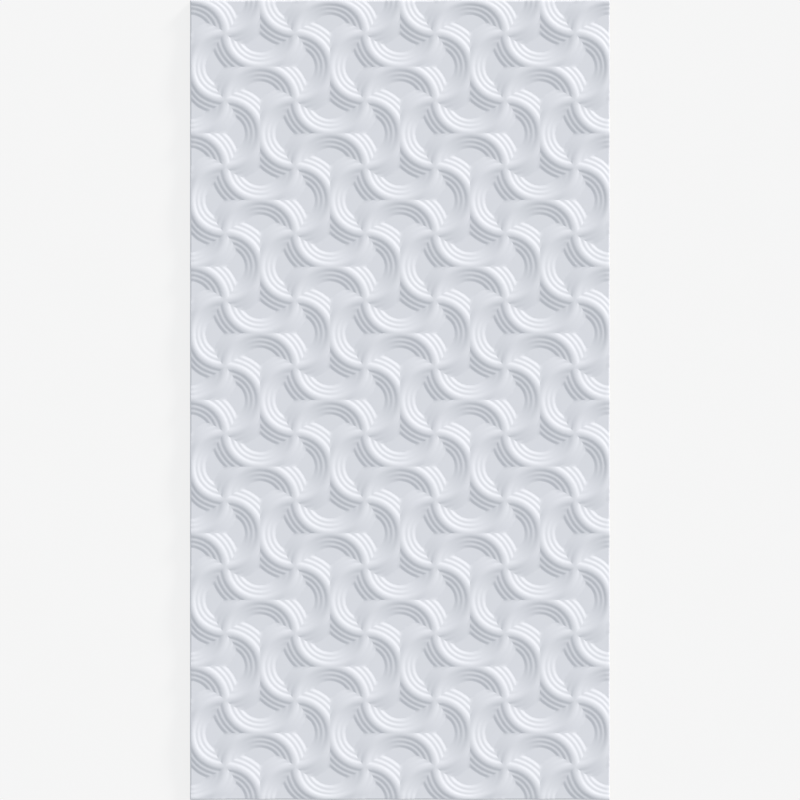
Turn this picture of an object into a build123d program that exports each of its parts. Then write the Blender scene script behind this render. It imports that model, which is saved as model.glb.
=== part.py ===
"""Glazed ceramic wall tile with a pressed relief of pinwheel waves.

One fired piece, in millimetres. It lies face up: +Z is out of the face, +Y runs along the length, and the
origin is the middle of the back. Every cell of the face has a pinwheel of four curved arms, and each cell is
the mirror image of its neighbours, so the arms join into waves that run on from tile to tile. Between the
waves the face is sunk, with one pit at the middle of every cell side.
"""

import os
from math import atan2, degrees

from build123d import *

# Tile body
TILE_WIDTH = 315.0
TILE_LENGTH = 600.0
BODY_THICKNESS = 7.6  # from the back to the floor of the pits
ARRIS_RADIUS = 1.0  # rounded glazed edge of the face
FOOT_CHAMFER = 0.8  # edge of the back

# Relief of the face
COLUMNS = 6
ROWS = 12
RELIEF_DEPTH = 2.4  # from the crests of the waves to the floor of the pits
CREST_WIDTH = 2.4  # level top of a wave
WAVE_WIDTH = 22.4  # whole wave, from pit floor to pit floor
ARM_SIDES = 20  # flats in a full turn of an arm's flank

# Keyed back, sunk panels between the ribs that bear on the adhesive
KEY_COLUMNS = 4
KEY_ROWS = 8
KEY_DEPTH = 0.7
KEY_RIB = 7.0  # rib between two panels
KEY_MARGIN = 9.0  # plain rim round the back
KEY_DRAFT = 45.0  # degrees, slope of the panels' walls

TOTAL_THICKNESS = BODY_THICKNESS + RELIEF_DEPTH
CELL_WIDTH = TILE_WIDTH / COLUMNS
CELL_LENGTH = TILE_LENGTH / ROWS


def slab():
    """The plain tile at its full thickness, with its face edges rounded and its back edges chamfered."""
    block = Box(TILE_WIDTH, TILE_LENGTH, TOTAL_THICKNESS, align=(Align.CENTER, Align.CENTER, Align.MIN))
    block = fillet(block.faces().sort_by(Axis.Z)[-1].edges(), ARRIS_RADIUS)
    return chamfer(block.faces().sort_by(Axis.Z)[0].edges(), FOOT_CHAMFER)


def arm_radius(reach, breadth):
    """Radius of the arc from the middle of a cell to its corner that arrives there square to its reach."""
    return (reach**2 + breadth**2) / (2 * reach)


def inside_flank(radius, side):
    """What lies inside one flank of an arm, about the arm's centre: its inner flank (-1) or its outer one (1)."""
    slope = degrees(atan2((WAVE_WIDTH - CREST_WIDTH) / 2, RELIEF_DEPTH))
    crest = RegularPolygon(radius + side * CREST_WIDTH / 2, ARM_SIDES, major_radius=False)
    prism = Pos(0, 0, BODY_THICKNESS) * extrude(crest, RELIEF_DEPTH)
    walls = prism.faces().filter_by(Axis.Z, reverse=True)
    return draft(walls, Plane.XY.offset(TOTAL_THICKNESS), side * slope)


def pit(reach, breadth):
    """The pit at the middle of a cell side that runs along Y, in cells of half sizes reach (Y) and breadth (X).

    A wave arches over it towards +Y, and two others close it to a cusp on the other side.
    """
    crown = arm_radius(reach, breadth)
    flanker = arm_radius(breadth, reach)
    field = Pos(0, reach - crown) * inside_flank(crown, -1)
    for side in (-1, 1):
        field -= Pos(side * flanker, -reach) * inside_flank(flanker, 1)
    return field


def starts_as_first(column, row):
    """Whether a cell turns the same way as the upper left one. Columns and rows count from the lower left."""
    return (column + ROWS - 1 - row) % 2 == 0


def pits():
    """All pits. Those on the tile's own sides are cut through, and the next tile has the other half."""
    up = pit(CELL_LENGTH / 2, CELL_WIDTH / 2)
    down = Rot(0, 0, 180) * up
    left = Rot(0, 0, 90) * pit(CELL_WIDTH / 2, CELL_LENGTH / 2)
    right = Rot(0, 0, 180) * left
    placed = []
    for column in range(COLUMNS + 1):
        for row in range(ROWS):
            place = Pos(column * CELL_WIDTH - TILE_WIDTH / 2, (row + 0.5) * CELL_LENGTH - TILE_LENGTH / 2)
            placed.append(place * (up if starts_as_first(column, row) else down))
    for column in range(COLUMNS):
        for row in range(ROWS + 1):
            place = Pos((column + 0.5) * CELL_WIDTH - TILE_WIDTH / 2, row * CELL_LENGTH - TILE_LENGTH / 2)
            placed.append(place * (left if starts_as_first(column, row) else right))
    return placed


def key_panels():
    """The sunk panels of the back, in a regular grid inside the plain rim."""
    pitch_x = (TILE_WIDTH - 2 * KEY_MARGIN + KEY_RIB) / KEY_COLUMNS
    pitch_y = (TILE_LENGTH - 2 * KEY_MARGIN + KEY_RIB) / KEY_ROWS
    panel = extrude(Rectangle(pitch_x - KEY_RIB, pitch_y - KEY_RIB), KEY_DEPTH, taper=KEY_DRAFT)
    return [place * panel for place in GridLocations(pitch_x, pitch_y, KEY_COLUMNS, KEY_ROWS)]


def wall_tile():
    """The finished tile."""
    return slab() - pits() - key_panels()


os.makedirs("parts", exist_ok=True)
export_step(wall_tile(), "parts/wall_tile.step")
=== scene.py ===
"""Glazed ceramic wall tile with a pressed relief of pinwheel waves, lying face up on a pale floor.

Metres, +Z out of the face, +Y along the length. The whole tile is one closed mesh. Its face repeats one
half pit by rule: four turns of it make a pinwheel cell, and the cells alternate with their mirror image.
"""
from math import cos, pi, radians, sin, sqrt

import bmesh
import bpy
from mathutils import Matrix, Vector


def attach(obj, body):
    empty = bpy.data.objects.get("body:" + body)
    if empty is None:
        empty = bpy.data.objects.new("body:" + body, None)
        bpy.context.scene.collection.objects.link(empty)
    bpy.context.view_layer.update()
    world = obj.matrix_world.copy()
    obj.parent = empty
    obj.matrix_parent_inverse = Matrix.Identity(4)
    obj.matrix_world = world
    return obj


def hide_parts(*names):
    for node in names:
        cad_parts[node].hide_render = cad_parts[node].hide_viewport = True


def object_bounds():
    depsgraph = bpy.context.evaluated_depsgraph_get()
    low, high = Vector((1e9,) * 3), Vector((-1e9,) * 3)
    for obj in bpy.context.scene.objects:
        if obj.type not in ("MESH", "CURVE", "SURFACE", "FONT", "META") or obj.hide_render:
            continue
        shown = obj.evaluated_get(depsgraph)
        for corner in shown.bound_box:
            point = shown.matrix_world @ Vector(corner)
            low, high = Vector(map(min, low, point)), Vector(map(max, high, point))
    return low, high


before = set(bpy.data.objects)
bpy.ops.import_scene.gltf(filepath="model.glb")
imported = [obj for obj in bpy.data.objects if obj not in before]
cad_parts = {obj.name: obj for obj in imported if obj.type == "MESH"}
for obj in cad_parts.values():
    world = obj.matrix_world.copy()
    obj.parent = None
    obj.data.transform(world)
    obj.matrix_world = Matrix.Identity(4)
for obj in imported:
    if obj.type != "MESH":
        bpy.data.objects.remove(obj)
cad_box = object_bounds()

MM = 0.001

# Tile body, as in the solid
TILE_WIDTH, TILE_LENGTH, TILE_THICKNESS = cad_box[1] - cad_box[0]
HALF_WIDTH = TILE_WIDTH / 2
HALF_LENGTH = TILE_LENGTH / 2
ARRIS_RADIUS = 1.0 * MM  # rounded glazed edge of the face
ARRIS_STEPS = 4
ARRIS_BAND = 6.0 * MM  # rim of the face that makes room for the arris
FOOT_CHAMFER = 0.8 * MM
WALL_LINE = 5.0 * MM  # height at which the sides' net of faces gets coarser

# Relief of the face: every flank of a wave comes down from its crest in rolls
COLUMNS = 6
ROWS = 12
CELL_WIDTH = TILE_WIDTH / COLUMNS
CELL_LENGTH = TILE_LENGTH / ROWS
RELIEF_DEPTH = 2.4 * MM
ROLLS = 3
ROLL_WIDTH = 0.14  # in half cells, so about 3.6 mm
SWELL = 1.12  # how far the slope of a roll leaves that of the whole flank, as a share of it, either way
# Shares of a roll's width
CREST = 0.5  # rounded crest, to either side
STEEPEST = 0.78  # where in each roll the slope is steepest
RUN_OUT = 0.15  # the last roll reaches the floor a little later
# The waves down from the upper left are bold. Those of the other diagonal are quiet, with hardly any rolls.
QUIET_ROLLS = 0.15  # what is left of the rolls there
EASING = 0.2  # how softly a flank without rolls leaves its crest and meets the floor
BOLD_ANGLE = radians(32.0)  # a flank within this angle of square to the bold diagonal has full rolls
QUIET_ANGLE = radians(78.0)  # and one turned farther than this is quiet
STEPS_PER_ROLL = 5
STEPS_PER_ARM = 9
SAME_POINT = 0.02 * MM
HALF_STEP = 0.5  # keeps counted steps clear of rounding
SLACK = 0.01  # the same for values that are compared
ROLL_CREASE = radians(17.0)  # a sharper fold of the face is a crease, where two flanks meet
EDGE_CREASE = radians(30.0)  # the same for the sides and the back

# Keyed back
KEY_COLUMNS = 4
KEY_ROWS = 8
KEY_DEPTH = 0.7 * MM  # of the sunk panels, whose walls slope at 45 degrees
KEY_RIB = 7.0 * MM
KEY_MARGIN = 9.0 * MM

# Most of a noise lies between low and high
NOISE_LOW = 0.3
NOISE_MIDDLE = 0.5
NOISE_HIGH = 0.7

# Satin glaze
GLAZE_THIN = "D5D8DE"
GLAZE_THICK = "D9DBE2"
GLAZE_IOR = 1.5
GLAZE_ROUGH = (0.37, 0.43)
GLAZE_CLOUDS = 40.0 * MM  # thicker and thinner patches
GLAZE_SHEEN = 18.0 * MM  # duller and shinier patches
GLAZE_PEEL = 1.6 * MM  # orange peel
GLAZE_PEEL_DEPTH = 0.004 * MM

# Bare body
BISCUIT_PALE = "DED4C4"
BISCUIT_WARM = "D2C4AE"
BISCUIT_DARK = "A39279"
BISCUIT_IOR = 1.5
BISCUIT_ROUGH = (0.82, 0.95)
BISCUIT_PATCHES = 30.0 * MM
BISCUIT_GRIT = 1.5 * MM  # drawn coarser than the real 0.3 mm, which is too fine to show
BISCUIT_SPECKS = (0.66, 0.80)  # where in the noise a speck begins, and where it is darkest
BISCUIT_GRAIN = 0.8 * MM  # drawn coarser too, for the same reason
BISCUIT_GRAIN_DEPTH = 0.06 * MM

# Where the glaze ends on the sides
RUN_LINE = 3.6 * MM  # middle height above the back
RUN_WAVER = 4.0 * MM  # from its lowest to its highest point, at most
RUN_WIDTH = 11.0 * MM
RUN_FEATHER = 0.5 * MM
RUN_THICKNESS = 0.15 * MM

# Camera and light
PICTURE_HEIGHT = 600.0 * MM  # the tile's length fills the frame
CAMERA_DISTANCE = 3.0  # above the crests
LENS_RANGE = (0.05, 50.0)  # nearest and farthest that is drawn
SENSOR = 36.0  # in millimetres, as cameras give it
LAMP_AZIMUTH = radians(45.0)  # from the upper right
LAMP_ELEVATION = radians(20.0)
LAMP_LEVEL = 1.1  # what a white surface square to the lamp gets
LAMP_COLOUR = "FFFAF4"
LAMP_SPREAD = radians(14.0)
SKY_LEVEL = 0.65  # lamp and sky together light a level surface at about 1, without a tint
SKY_COLOUR = "F7FBFF"
BACKDROP = "F6F6F6"
FLOOR_PAINT = ("C8C8C8", "CECECE")
FLOOR_SCUFFS = 60.0 * MM
FLOOR_TONE = "FFFFFF"
FLOOR_GLOW = 0.8  # share of that tone in what the camera sees, so that the shadow stays faint
FLOOR_SIZE = 12.0
FLOOR_GAP = 0.05 * MM


def colour(code):
    """Linear colour with alpha from an sRGB hex code."""
    parts = [int(code[i : i + 2], 16) / 255 for i in (0, 2, 4)]
    return (*(c / 12.92 if c <= 0.04045 else ((c + 0.055) / 1.055) ** 2.4 for c in parts), 1.0)


def add(tree, kind, inputs=None, **settings):
    """Adds a node with its settings and links.

    kind is a node type, or a sum: a tuple of the operation and its terms. An input goes by its name or its
    number, and takes a value, a socket, a node, whose first output is used, a sum, or a list of those.
    """
    if isinstance(kind, tuple):
        kind, inputs, settings = "ShaderNodeMath", dict(enumerate(kind[1:])), {"operation": kind[0]}
    node = tree.nodes.new(kind)
    for name, value in settings.items():
        setattr(node, name, value)
    for name, given in (inputs or {}).items():
        for value in given if isinstance(given, list) else [given]:
            if isinstance(value, tuple) and isinstance(value[0], str):
                value = add(tree, value)
            if isinstance(value, bpy.types.Node):
                value = value.outputs[0]
            if isinstance(value, bpy.types.NodeSocket):
                tree.links.new(value, node.inputs[name])
            else:
                node.inputs[name].default_value = value
    return node


# Relief


def flank(tree, given, net, side, hand):
    """One flank of a wave, from its crest down to the floor of a pit and on to the axis of that pit.

    side is 1 for the outer flank of the arm that runs from the cusp of the pit to the middle of the cell,
    and -1 for the inner flank of the arm that runs on from there over the top of the pit. hand says which of
    the two arms is bold: the inner one (0) or the outer one (1).
    """
    centre = (0.0, -1.0) if side > 0 else (-1.0, 0.0)
    away = add(tree, ("MULTIPLY", net["level"], given["Roll width"]))
    radius = add(tree, ("MULTIPLY_ADD", away, float(side), 1.0))
    inverse = add(tree, ("DIVIDE", 1.0, radius))
    # where the two arms meet in the notch of the pit, as an angle about this arm's centre
    meet = ("ARCSINE", ("MULTIPLY_ADD", inverse, -1 / sqrt(2), sqrt(2)))
    notch = ("MULTIPLY_ADD", meet, float(side), pi / 4)
    cusp = ("ADD", ("ARCSINE", inverse), pi / 2)
    start, end = (cusp, notch) if side > 0 else (notch, pi / 2)
    there = ("SUBTRACT", 1.0, net["along"])
    angle = add(tree, ("ADD", ("MULTIPLY", start, there), ("MULTIPLY", end, net["along"])))

    # how much of the rolls shows: all of them where the flank faces square to the bold diagonal, and at the
    # seams with the next flank, so that both come to the same height
    faces = ("ABSOLUTE", ("COSINE", ("SUBTRACT", angle, pi / 4 + hand * pi / 2)))
    bold = add(
        tree,
        "ShaderNodeMapRange",
        {0: faces, 1: given["Quiet facing"], 2: given["Bold facing"], 3: given["Quiet rolls"], 4: 1.0},
        interpolation_type="SMOOTHSTEP",
    )
    seams = ("LESS_THAN", net["along"], SLACK)
    if side > 0:
        seams = ("MAXIMUM", seams, ("GREATER_THAN", net["along"], 1.0 - SLACK))
    share = add(tree, ("MAXIMUM", bold, ("MAXIMUM", seams, net["at floor"])))
    fall = ("ADD", ("MULTIPLY", net["rolled"], share), ("MULTIPLY", net["plain"], ("SUBTRACT", 1.0, share)))

    across = ("MULTIPLY_ADD", radius, ("COSINE", angle), centre[0] + 1.0)
    place = add(
        tree,
        "ShaderNodeCombineXYZ",
        {
            "X": ("SUBTRACT", ("MULTIPLY", across, net["before axis"]), 1.0),
            "Y": ("MULTIPLY_ADD", radius, ("SINE", angle), centre[1]),
            "Z": ("SUBTRACT", given["Crest height"], ("MULTIPLY", fall, given["Relief depth"])),
        },
    )
    grid = {"Vertices X": ("ADD", given["Steps per arm"], 1.0), "Vertices Y": net["rows"]}
    points = add(tree, "GeometryNodeMeshGrid", grid)
    return add(tree, "GeometryNodeSetPosition", {"Geometry": points, "Position": place})


def flank_net(tree, given, index):
    """What all flanks share: where each point of the net lies along the arm and down the rolls."""
    down = add(tree, ("MULTIPLY", given["Rolls"], given["Steps per roll"]))
    rows = add(tree, ("ADD", down, 2.0))
    step = add(tree, ("MODULO", index, rows))
    reach = add(tree, ("ADD", given["Rolls"], given["Run-out"]))
    level = add(tree, ("DIVIDE", ("MULTIPLY", ("MINIMUM", step, down), reach), down))

    def waved(depth):
        """A fall that steepens and eases once in every roll."""
        phase = ("MULTIPLY", ("SUBTRACT", depth, given["Steepest"]), 2 * pi)
        return ("ADD", depth, ("DIVIDE", ("MULTIPLY", ("SINE", phase), given["Swell"]), 2 * pi))

    def fall(depth):
        """The whole fall from the crest, which is rounded as a parabola, down through the rolls."""
        on_crest = ("MINIMUM", depth, given["Crest"])
        rounded = ("DIVIDE", ("MULTIPLY", on_crest, on_crest), ("MULTIPLY", given["Crest"], 2.0))
        below_crest = waved(("MAXIMUM", depth, given["Crest"]))
        return ("ADD", rounded, ("SUBTRACT", below_crest, waved(given["Crest"])))

    # the same fall without rolls: a straight slope that is eased at the crest and at the floor
    ease = given["Easing"]
    slope = ("DIVIDE", ("SUBTRACT", level, ease), ("SUBTRACT", reach, ("ADD", ease, ease)))
    eased = ("SMOOTH_MAX", ("SMOOTH_MIN", slope, 1.0, ease), 0.0, ease)
    column = ("FLOOR", ("DIVIDE", ("ADD", index, HALF_STEP), rows))
    return {
        "rows": rows,
        "level": level,
        "along": add(tree, ("DIVIDE", column, given["Steps per arm"])),
        "before axis": add(tree, ("LESS_THAN", step, ("ADD", down, HALF_STEP))),
        "at floor": add(tree, ("GREATER_THAN", step, ("SUBTRACT", down, HALF_STEP))),
        "rolled": add(tree, ("DIVIDE", fall(level), fall(reach))),
        "plain": add(tree, eased),
    }


def pinwheel(tree, index, half_pits, hand):
    """One cell: four turns of the half pits about the middle, with the bold arms opposite each other."""
    corners = add(tree, "GeometryNodePoints", {"Count": 4})
    turn = add(tree, "ShaderNodeCombineXYZ", {"Z": ("MULTIPLY", index, -pi / 2)})
    turned = add(tree, "FunctionNodeEulerToRotation", {0: turn})
    quarters = []
    for kind, half_pit in enumerate(half_pits):
        every_second = ("COMPARE", ("MODULO", index, 2.0), float((kind + hand) % 2), SLACK)
        inputs = {"Points": corners, "Selection": every_second, "Instance": half_pit, "Rotation": turned}
        quarters.append(add(tree, "GeometryNodeInstanceOnPoints", inputs))
    cell = add(tree, "GeometryNodeJoinGeometry", {"Geometry": quarters})
    return add(tree, "GeometryNodeRealizeInstances", {"Geometry": cell})


def relief_tree():
    """The rule of the face, as a node tree with its sizes as inputs."""
    tree = bpy.data.node_groups.new("Pinwheel relief", "GeometryNodeTree")
    sizes = {
        "Cell width": "NodeSocketFloat",
        "Cell length": "NodeSocketFloat",
        "Columns": "NodeSocketInt",
        "Rows": "NodeSocketInt",
        "Crest height": "NodeSocketFloat",
        "Relief depth": "NodeSocketFloat",
        "Rolls": "NodeSocketInt",
        "Roll width": "NodeSocketFloat",
        "Run-out": "NodeSocketFloat",
        "Crest": "NodeSocketFloat",
        "Swell": "NodeSocketFloat",
        "Steepest": "NodeSocketFloat",
        "Easing": "NodeSocketFloat",
        "Quiet rolls": "NodeSocketFloat",
        "Quiet facing": "NodeSocketFloat",
        "Bold facing": "NodeSocketFloat",
        "Steps per roll": "NodeSocketInt",
        "Steps per arm": "NodeSocketInt",
        "Same point": "NodeSocketFloat",
        "Crease angle": "NodeSocketFloat",
        "Finish": "NodeSocketMaterial",
    }
    for name, kind in sizes.items():
        tree.interface.new_socket(name, in_out="INPUT", socket_type=kind)
    tree.interface.new_socket("Face", in_out="OUTPUT", socket_type="NodeSocketGeometry")
    given = add(tree, "NodeGroupInput").outputs
    index = add(tree, "GeometryNodeInputIndex")

    net = flank_net(tree, given, index)
    half_pits = []
    for hand in (0, 1):
        flanks = [flank(tree, given, net, side, hand) for side in (1, -1)]
        half_pits.append(add(tree, "GeometryNodeJoinGeometry", {"Geometry": flanks}))

    # the cells, every second one mirrored, the upper left one as it is
    places = add(
        tree,
        "GeometryNodeMeshGrid",
        {
            "Size X": ("MULTIPLY", given["Cell width"], ("SUBTRACT", given["Columns"], 1.0)),
            "Size Y": ("MULTIPLY", given["Cell length"], ("SUBTRACT", given["Rows"], 1.0)),
            "Vertices X": given["Columns"],
            "Vertices Y": given["Rows"],
        },
    )
    column = ("FLOOR", ("DIVIDE", ("ADD", index, HALF_STEP), given["Rows"]))
    row_from_top = ("SUBTRACT", ("SUBTRACT", given["Rows"], 1.0), ("MODULO", index, given["Rows"]))
    second = add(tree, ("MODULO", ("ADD", column, row_from_top), 2.0))
    cells = []
    for hand in (0, 1):
        half_width = ("MULTIPLY", given["Cell width"], 0.5 - hand)
        half_length = ("MULTIPLY", given["Cell length"], 0.5)
        inputs = {
            "Points": places,
            "Selection": ("COMPARE", second, float(hand), SLACK),
            "Instance": pinwheel(tree, index, half_pits, hand),
            "Scale": add(tree, "ShaderNodeCombineXYZ", {"X": half_width, "Y": half_length, "Z": 1.0}),
        }
        cells.append(add(tree, "GeometryNodeInstanceOnPoints", inputs))
    face = add(tree, "GeometryNodeJoinGeometry", {"Geometry": cells})
    face = add(tree, "GeometryNodeRealizeInstances", {"Geometry": face})

    # mirrored cells come out upside down
    upright = add(tree, "ShaderNodeSeparateXYZ", {0: add(tree, "GeometryNodeInputNormal")})
    face = add(
        tree, "GeometryNodeFlipFaces", {"Mesh": face, "Selection": ("LESS_THAN", upright.outputs["Z"], 0.0)}
    )
    face = add(tree, "GeometryNodeMergeByDistance", {"Geometry": face, "Distance": given["Same point"]})
    # the floors of the pits stay flat, and the flanks are smooth but for their creases
    height = add(tree, "ShaderNodeSeparateXYZ", {0: add(tree, "GeometryNodeInputPosition")}).outputs["Z"]
    floor = ("SUBTRACT", given["Crest height"], given["Relief depth"])
    curved = ("GREATER_THAN", height, ("ADD", floor, given["Same point"]))
    soft = ("LESS_THAN", add(tree, "GeometryNodeInputMeshEdgeAngle"), given["Crease angle"])
    for domain, smooth in (("FACE", curved), ("EDGE", soft)):
        shading = {"Geometry": face, "Shade Smooth": smooth}
        face = add(tree, "GeometryNodeSetShadeSmooth", shading, domain=domain)
    face = add(tree, "GeometryNodeSetMaterial", {"Geometry": face, "Material": given["Finish"]})
    add(tree, "NodeGroupOutput", {"Face": face})
    return tree


def relief_face(finish):
    """The relief out to the full size of the tile, as a plain mesh without sides."""
    tree = relief_tree()
    carrier = bpy.data.objects.new("relief rule", bpy.data.meshes.new("relief rule"))
    bpy.context.scene.collection.objects.link(carrier)
    rule = carrier.modifiers.new("Pinwheel relief", "NODES")
    rule.node_group = tree
    values = {
        "Cell width": CELL_WIDTH,
        "Cell length": CELL_LENGTH,
        "Columns": COLUMNS,
        "Rows": ROWS,
        "Crest height": TILE_THICKNESS,
        "Relief depth": RELIEF_DEPTH,
        "Rolls": ROLLS,
        "Roll width": ROLL_WIDTH,
        "Run-out": RUN_OUT,
        "Crest": CREST,
        "Swell": SWELL,
        "Steepest": STEEPEST,
        "Easing": EASING,
        "Quiet rolls": QUIET_ROLLS,
        "Quiet facing": cos(QUIET_ANGLE),
        "Bold facing": cos(BOLD_ANGLE),
        "Steps per roll": STEPS_PER_ROLL,
        "Steps per arm": STEPS_PER_ARM,
        "Same point": SAME_POINT,
        "Crease angle": ROLL_CREASE,
        "Finish": finish,
    }
    for socket in tree.interface.items_tree:
        if socket.in_out == "INPUT":
            rule[socket.identifier] = values[socket.name]
    made = carrier.evaluated_get(bpy.context.evaluated_depsgraph_get())
    mesh = bpy.data.meshes.new_from_object(made)
    carrier.modifiers.remove(rule)
    bpy.data.objects.remove(carrier)
    return mesh


# Sides and back


def border_loop(shape):
    """The points round the border of the face, in order."""
    edges = [edge for edge in shape.edges if edge.is_boundary]
    loop = [edges[0].verts[0], edges[0].verts[1]]
    while loop[-1] is not loop[0]:
        here, before = loop[-1], loop[-2]
        onward = [e.other_vert(here) for e in here.link_edges if e.is_boundary]
        loop.append(onward[0] if onward[1] is before else onward[1])
    return loop[:-1]


def outward(point, inset=0.0):
    """Which sides a point of a border lies on: -1, 0 or 1 across and along. The border may be set in."""
    limits = ((point.x, HALF_WIDTH - inset), (point.y, HALF_LENGTH - inset))
    return [(value > size - SAME_POINT) - (value < SAME_POINT - size) for value, size in limits]


def squeeze(value, size):
    """Draws the outer band of the face in, so that the rounded arris fits outside it."""
    inside = size - ARRIS_BAND
    over = abs(value) - inside
    if over <= 0:
        return value
    return (inside + over * (ARRIS_BAND - ARRIS_RADIUS) / ARRIS_BAND) * (1 if value > 0 else -1)


def band(shape, upper, lower):
    """Quads between two loops of as many points."""
    made = []
    for i in range(len(upper)):
        j = (i + 1) % len(upper)
        made.append(shape.faces.new((upper[i], lower[i], lower[j], upper[j])))
    return made


def round_arris(shape):
    """Rounds the face over to the sides, along the relief. Returns its lower border and its faces."""
    loop = border_loop(shape)
    sides = [outward(vert.co) for vert in loop]
    for vert in shape.verts:
        vert.co.x = squeeze(vert.co.x, HALF_WIDTH)
        vert.co.y = squeeze(vert.co.y, HALF_LENGTH)
    top = [vert.co.copy() for vert in loop]
    faces = []
    for step in range(1, ARRIS_STEPS + 1):
        angle = step * pi / 2 / ARRIS_STEPS
        out, down = ARRIS_RADIUS * sin(angle), ARRIS_RADIUS * (1 - cos(angle))
        lower = [
            shape.verts.new((place.x + side[0] * out, place.y + side[1] * out, place.z - down))
            for place, side in zip(top, sides)
        ]
        faces += band(shape, loop, lower)
        loop = lower
    return loop, faces


def key_lines(size, count):
    """Where the back folds, across or along: its edge, then both edges and floor edges of every panel."""
    pitch = (size - 2 * KEY_MARGIN + KEY_RIB) / count
    lines = [FOOT_CHAMFER - size / 2]
    for i in range(count):
        low = KEY_MARGIN - size / 2 + i * pitch
        high = low + pitch - KEY_RIB
        lines += [low, low + KEY_DEPTH, high - KEY_DEPTH, high]
    return lines + [size / 2 - FOOT_CHAMFER]


def keyed_back(shape):
    """The ribs of the back with their sunk panels. Returns the back's border, in order, and its faces."""
    across = key_lines(TILE_WIDTH, KEY_COLUMNS)
    along = key_lines(TILE_LENGTH, KEY_ROWS)
    lines_per_panel = 4
    floor_lines = (2, 3)

    def sunk(i, j):
        return i % lines_per_panel in floor_lines and j % lines_per_panel in floor_lines

    net = [
        [shape.verts.new((x, y, KEY_DEPTH if sunk(i, j) else 0.0)) for j, y in enumerate(along)]
        for i, x in enumerate(across)
    ]
    faces = []
    for i in range(len(across) - 1):
        for j in range(len(along) - 1):
            places = [(i, j), (i + 1, j), (i + 1, j + 1), (i, j + 1)]
            low = [n for n, place in enumerate(places) if sunk(*place)]
            corners = [net[a][b] for a, b in places]
            if len(low) == 1:  # corner of a panel, folded along its mitre
                corners = corners[low[0] :] + corners[: low[0]]
                faces.append(shape.faces.new((corners[0], corners[1], corners[2])))
                faces.append(shape.faces.new((corners[0], corners[2], corners[3])))
            else:
                faces.append(shape.faces.new(corners))
    border = [column[0] for column in net]
    border += net[-1][1:]
    border += [column[-1] for column in net[-2::-1]]
    border += net[0][-2:0:-1]
    return border, faces


def foot(shape, border):
    """The chamfer round the back. Returns its upper border and its faces."""
    upper = []
    for vert in border:
        across, along = outward(vert.co, FOOT_CHAMFER)
        x = vert.co.x + FOOT_CHAMFER * across
        y = vert.co.y + FOOT_CHAMFER * along
        upper.append(shape.verts.new((x, y, FOOT_CHAMFER)))
    return upper, band(shape, upper, border)


def side_walls(shape, upper, lower):
    """The four flat sides, from the arris to the chamfer: quads down to a level line, then triangles."""
    line = [shape.verts.new((vert.co.x, vert.co.y, WALL_LINE)) for vert in upper]
    faces = band(shape, upper, line)
    for axis, sign in ((0, 1), (0, -1), (1, 1), (1, -1)):
        size = (HALF_WIDTH, HALF_LENGTH)[axis] * sign
        other = 1 - axis
        above, below = (
            sorted((v for v in loop if abs(v.co[axis] - size) < SAME_POINT), key=lambda v: v.co[other])
            for loop in (line, lower)
        )
        i = j = 0
        while i + 1 < len(above) or j + 1 < len(below):
            last_below = j + 1 == len(below)
            if last_below or (i + 1 < len(above) and above[i + 1].co[other] < below[j + 1].co[other]):
                faces.append(shape.faces.new((above[i], below[j], above[i + 1])))
                i += 1
            else:
                faces.append(shape.faces.new((above[i], below[j], below[j + 1])))
                j += 1
    return faces


def wall_tile(glaze, edge, biscuit):
    """The whole tile as one closed mesh."""
    mesh = relief_face(glaze)
    mesh.name = "relief_tile"
    mesh.materials.clear()
    finishes = (glaze, edge, biscuit)
    for finish in finishes:
        mesh.materials.append(finish)
    shape = bmesh.new()
    shape.from_mesh(mesh)
    arris, arris_faces = round_arris(shape)
    back, back_faces = keyed_back(shape)
    foot_top, foot_faces = foot(shape, back)
    wall_faces = side_walls(shape, arris, foot_top)
    for faces, finish in ((arris_faces + wall_faces, edge), (foot_faces + back_faces, biscuit)):
        for face in faces:
            face.material_index = finishes.index(finish)
            face.smooth = True
    bmesh.ops.recalc_face_normals(shape, faces=shape.faces)
    shape.normal_update()
    for face in arris_faces + wall_faces + foot_faces + back_faces:
        for fold in face.edges:
            fold.smooth = fold.calc_face_angle(0.0) < EDGE_CREASE
    shape.to_mesh(mesh)
    shape.free()
    tile = bpy.data.objects.new("relief_tile", mesh)
    bpy.context.scene.collection.objects.link(tile)
    return tile


# Finishes


def material(name):
    """An empty node material, its tree, and the place on the object that is being shaded."""
    made = bpy.data.materials.new(name)
    made.use_nodes = True
    tree = made.node_tree
    tree.nodes.clear()
    place = add(tree, "ShaderNodeTexCoord").outputs["Object"]
    return made, tree, place


def fire(tree, skin, ior, depth):
    """Gives a fired surface its skin: colour, roughness, and a relief of that depth."""
    tint, rough, height = skin
    bump = add(tree, "ShaderNodeBump", {"Height": height, "Distance": depth})
    surface = {"Base Color": tint, "Roughness": rough, "Normal": bump, "IOR": ior}
    shader = add(tree, "ShaderNodeBsdfPrincipled", surface)
    add(tree, "ShaderNodeOutputMaterial", {"Surface": shader})


def blend(tree, share, one, other):
    """Goes from one colour to the other. The mix node has its colours on inputs 6 and 7 and output 2."""
    return add(tree, "ShaderNodeMix", {0: share, 6: one, 7: other}, data_type="RGBA").outputs[2]


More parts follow.
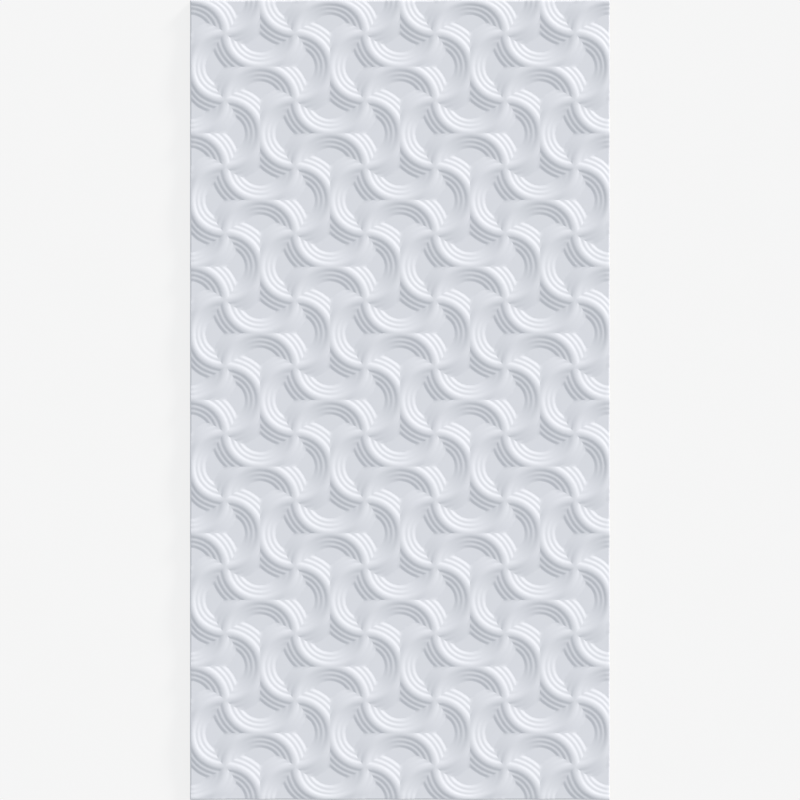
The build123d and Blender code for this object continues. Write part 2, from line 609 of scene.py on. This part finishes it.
def glaze_skin(tree, place):
    """Cool white that is a little denser where the glaze lies thicker, with a faint orange peel."""
    clouds = add(tree, "ShaderNodeTexNoise", {"Vector": place, "Scale": 1 / GLAZE_CLOUDS, "Detail": 3.0})
    tint = blend(tree, clouds, colour(GLAZE_THIN), colour(GLAZE_THICK))
    sheen = add(tree, "ShaderNodeTexNoise", {"Vector": place, "Scale": 1 / GLAZE_SHEEN, "Detail": 2.0})
    low, high = GLAZE_ROUGH
    rough = add(tree, "ShaderNodeMapRange", {0: sheen, 1: NOISE_LOW, 2: NOISE_HIGH, 3: low, 4: high})
    peel = add(tree, "ShaderNodeTexNoise", {"Vector": place, "Scale": 1 / GLAZE_PEEL, "Detail": 1.0})
    return tint, rough, peel


def biscuit_skin(tree, place):
    """Warm and matt, in faint patches from the kiln, with a fine grain and specks of darker grit."""
    patches = add(tree, "ShaderNodeTexNoise", {"Vector": place, "Scale": 1 / BISCUIT_PATCHES, "Detail": 4.0})
    ground = blend(tree, patches, colour(BISCUIT_PALE), colour(BISCUIT_WARM))
    grit = add(tree, "ShaderNodeTexNoise", {"Vector": place, "Scale": 1 / BISCUIT_GRIT, "Detail": 1.0})
    thin, dense = BISCUIT_SPECKS
    specks = add(tree, "ShaderNodeMapRange", {0: grit, 1: thin, 2: dense})
    tint = blend(tree, specks, ground, colour(BISCUIT_DARK))
    grain = add(tree, "ShaderNodeTexNoise", {"Vector": place, "Scale": 1 / BISCUIT_GRAIN, "Detail": 4.0})
    low, high = BISCUIT_ROUGH
    rough = add(tree, "ShaderNodeMapRange", {0: grain, 1: NOISE_LOW, 2: NOISE_HIGH, 3: low, 4: high})
    return tint, rough, grain


def satin_glaze():
    """Opaque satin glaze, sprayed on and fired: a cool white with a soft, broad shine."""
    made, tree, place = material("satin white glaze")
    fire(tree, glaze_skin(tree, place), GLAZE_IOR, GLAZE_PEEL_DEPTH)
    return made


def bare_biscuit():
    """Pale earthenware, pressed, fired and left bare: matt and warm, and rough to the touch."""
    made, tree, place = material("pale earthenware biscuit")
    fire(tree, biscuit_skin(tree, place), BISCUIT_IOR, BISCUIT_GRAIN_DEPTH)
    return made


def glazed_edge():
    """The sides: the glaze runs down over the biscuit and ends in an uneven, slightly raised line."""
    made, tree, place = material("satin white glaze run over biscuit")
    glaze = glaze_skin(tree, place)
    biscuit = biscuit_skin(tree, place)
    height = add(tree, "ShaderNodeSeparateXYZ", {0: place}).outputs["Z"]
    runs = add(tree, "ShaderNodeTexNoise", {"Vector": place, "Scale": 1 / RUN_WIDTH, "Detail": 3.0})
    line = ("MULTIPLY_ADD", ("SUBTRACT", runs, NOISE_MIDDLE), RUN_WAVER, RUN_LINE)
    covered = add(tree, "ShaderNodeMapRange", {0: ("SUBTRACT", height, line), 1: 0.0, 2: RUN_FEATHER})
    tint = blend(tree, covered, biscuit[0], glaze[0])
    rough = add(tree, "ShaderNodeMix", {0: covered, 2: biscuit[1], 3: glaze[1]})
    grain = ("MULTIPLY", biscuit[2], BISCUIT_GRAIN_DEPTH / RUN_THICKNESS)
    raised = add(tree, "ShaderNodeMix", {0: covered, 2: grain, 3: 1.0})
    fire(tree, (tint, rough, raised), GLAZE_IOR, RUN_THICKNESS)
    return made


# Stage


def is_seen(tree):
    """1 for what the camera sees, directly or mirrored in the glaze, and 0 for what lights the tile."""
    path = add(tree, "ShaderNodeLightPath").outputs
    mirrored = ("MAXIMUM", path["Is Glossy Ray"], path["Is Transmission Ray"])
    return add(tree, ("MAXIMUM", path["Is Camera Ray"], mirrored))


def floor_finish():
    """Matt grey paint, scuffed a little. The camera sees most of it as pale as the backdrop."""
    made, tree, place = material("matt floor paint")
    scuffs = add(tree, "ShaderNodeTexNoise", {"Vector": place, "Scale": 1 / FLOOR_SCUFFS, "Detail": 2.0})
    paint = blend(tree, scuffs, *(colour(code) for code in FLOOR_PAINT))
    matt = add(tree, "ShaderNodeBsdfDiffuse", {"Color": paint})
    tone = add(tree, "ShaderNodeEmission", {"Color": colour(FLOOR_TONE), "Strength": 1.0})
    shown = ("MULTIPLY", is_seen(tree), FLOOR_GLOW)
    mixed = add(tree, "ShaderNodeMixShader", {0: shown, 1: matt, 2: tone})
    add(tree, "ShaderNodeOutputMaterial", {"Surface": mixed})
    return made


def pale_floor():
    """The floor, a hair below the ribs of the back."""
    half = FLOOR_SIZE / 2
    mesh = bpy.data.meshes.new("floor")
    corners = [(-half, -half), (half, -half), (half, half), (-half, half)]
    mesh.from_pydata([(x, y, -FLOOR_GAP) for x, y in corners], [], [(0, 1, 2, 3)])
    mesh.materials.append(floor_finish())
    floor = bpy.data.objects.new("floor", mesh)
    bpy.context.scene.collection.objects.link(floor)
    return floor


def studio_light():
    """A soft lamp from the upper right, an even sky, and a pale backdrop that is only seen or mirrored."""
    lamp = bpy.data.lights.new("soft lamp", "SUN")
    lamp.energy = pi * LAMP_LEVEL
    lamp.color = colour(LAMP_COLOUR)[:3]
    lamp.angle = LAMP_SPREAD
    stand = bpy.data.objects.new("soft lamp", lamp)
    bpy.context.scene.collection.objects.link(stand)
    level = cos(LAMP_ELEVATION)
    towards = Vector((level * sin(LAMP_AZIMUTH), level * cos(LAMP_AZIMUTH), sin(LAMP_ELEVATION)))
    stand.rotation_mode = "QUATERNION"
    stand.rotation_quaternion = towards.to_track_quat("Z", "Y")
    world = bpy.data.worlds.new("studio")
    bpy.context.scene.world = world
    world.use_nodes = True
    tree = world.node_tree
    tree.nodes.clear()
    sky = add(tree, "ShaderNodeBackground", {"Color": colour(SKY_COLOUR), "Strength": SKY_LEVEL})
    drop = add(tree, "ShaderNodeBackground", {"Color": colour(BACKDROP), "Strength": 1.0})
    mixed = add(tree, "ShaderNodeMixShader", {0: is_seen(tree), 1: sky, 2: drop})
    add(tree, "ShaderNodeOutputWorld", {"Surface": mixed})


def camera():
    """Straight above the tile with a long lens, the tile's length filling the picture."""
    lens = bpy.data.cameras.new("camera")
    lens.type = "PERSP"
    lens.sensor_width = SENSOR
    lens.sensor_fit = "HORIZONTAL"
    lens.lens = SENSOR * CAMERA_DISTANCE / PICTURE_HEIGHT
    lens.clip_start, lens.clip_end = LENS_RANGE
    seat = bpy.data.objects.new("camera", lens)
    seat.location = (0.0, 0.0, TILE_THICKNESS + CAMERA_DISTANCE)
    bpy.context.scene.collection.objects.link(seat)
    bpy.context.scene.camera = seat


bpy.context.scene.view_settings.view_transform = "Standard"

tile = wall_tile(satin_glaze(), glazed_edge(), bare_biscuit())
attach(tile, "root")
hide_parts("wall_tile")
pale_floor()
studio_light()
camera()
